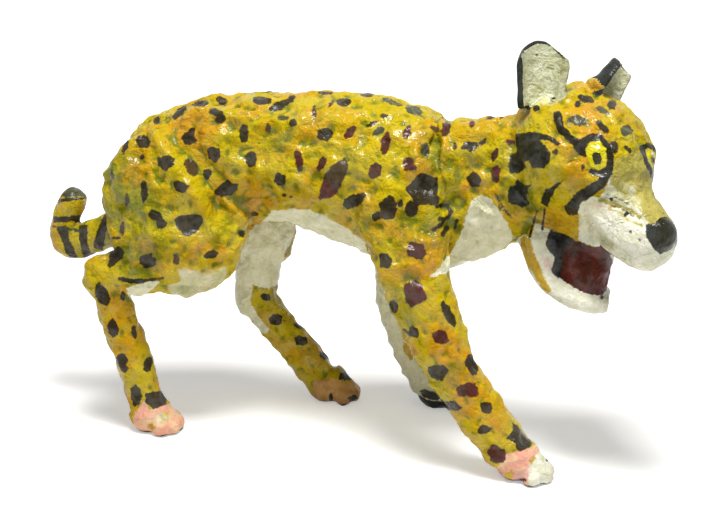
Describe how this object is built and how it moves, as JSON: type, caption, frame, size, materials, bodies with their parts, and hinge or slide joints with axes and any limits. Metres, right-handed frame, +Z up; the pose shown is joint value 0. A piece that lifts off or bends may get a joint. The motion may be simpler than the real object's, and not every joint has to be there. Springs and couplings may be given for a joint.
{
  "type": "papier-mache alebrije figure",
  "caption": "Papier-mache alebrije of a striding spotted cat with open jaws, cupped card ears and a hooked tail, painted in ochre with dark spots; a standing shelf ornament.",
  "frame": {"origin": "on the table under the middle of the figure's bounding box", "axes": "+X towards the nose, +Y to the cat's left, +Z up"},
  "size_m": [0.2613, 0.0868, 0.1646],
  "materials": {
    "wire": "dull galvanised",
    "masking_tape": "matt crepe paper",
    "bare_paper": "crumpled, matt",
    "painted_paper": "spotted acrylic paint, glossy varnish",
    "white_coat": "off-white acrylic paint, glossy varnish",
    "paw_paint": "pink acrylic paint, glossy varnish",
    "black_paint": "black acrylic paint, glossy varnish",
    "mouth_paint": "dark red acrylic paint, satin",
    "eye_paint": "yellow acrylic paint, glossy varnish",
    "ear_card": "off-white inside, black rim and back"
  },
  "bodies": {
    "root": {"spine_wire": "wire", "fore_leg_wire": "wire", "hind_leg_wire": "wire", "shoulder_tape": "masking_tape", "hip_tape": "masking_tape", "rump_bundle": "bare_paper", "waist_bundle": "bare_paper", "chest_bundle": "bare_paper", "neck_bundle": "bare_paper", "head_bundle": "bare_paper", "torso_skin": "painted_paper", "neck_skin": "painted_paper", "head_skin": "painted_paper", "muzzle": "white_coat", "nose": "black_paint", "lower_jaw": "white_coat", "mouth_lining": "mouth_paint", "right_eye": "eye_paint", "left_eye": "eye_paint", "right_ear": "ear_card", "left_ear": "ear_card", "right_shoulder": "painted_paper", "left_shoulder": "painted_paper", "right_thigh": "painted_paper", "left_thigh": "painted_paper", "right_foreleg": "painted_paper", "left_foreleg": "painted_paper", "right_hind_leg": "painted_paper", "left_hind_leg": "painted_paper", "right_fore_paw": "paw_paint", "left_fore_paw": "paw_paint", "right_hind_paw": "paw_paint", "left_hind_paw": "paw_paint", "tail_skin": "painted_paper"}
  },
  "joints": []
}
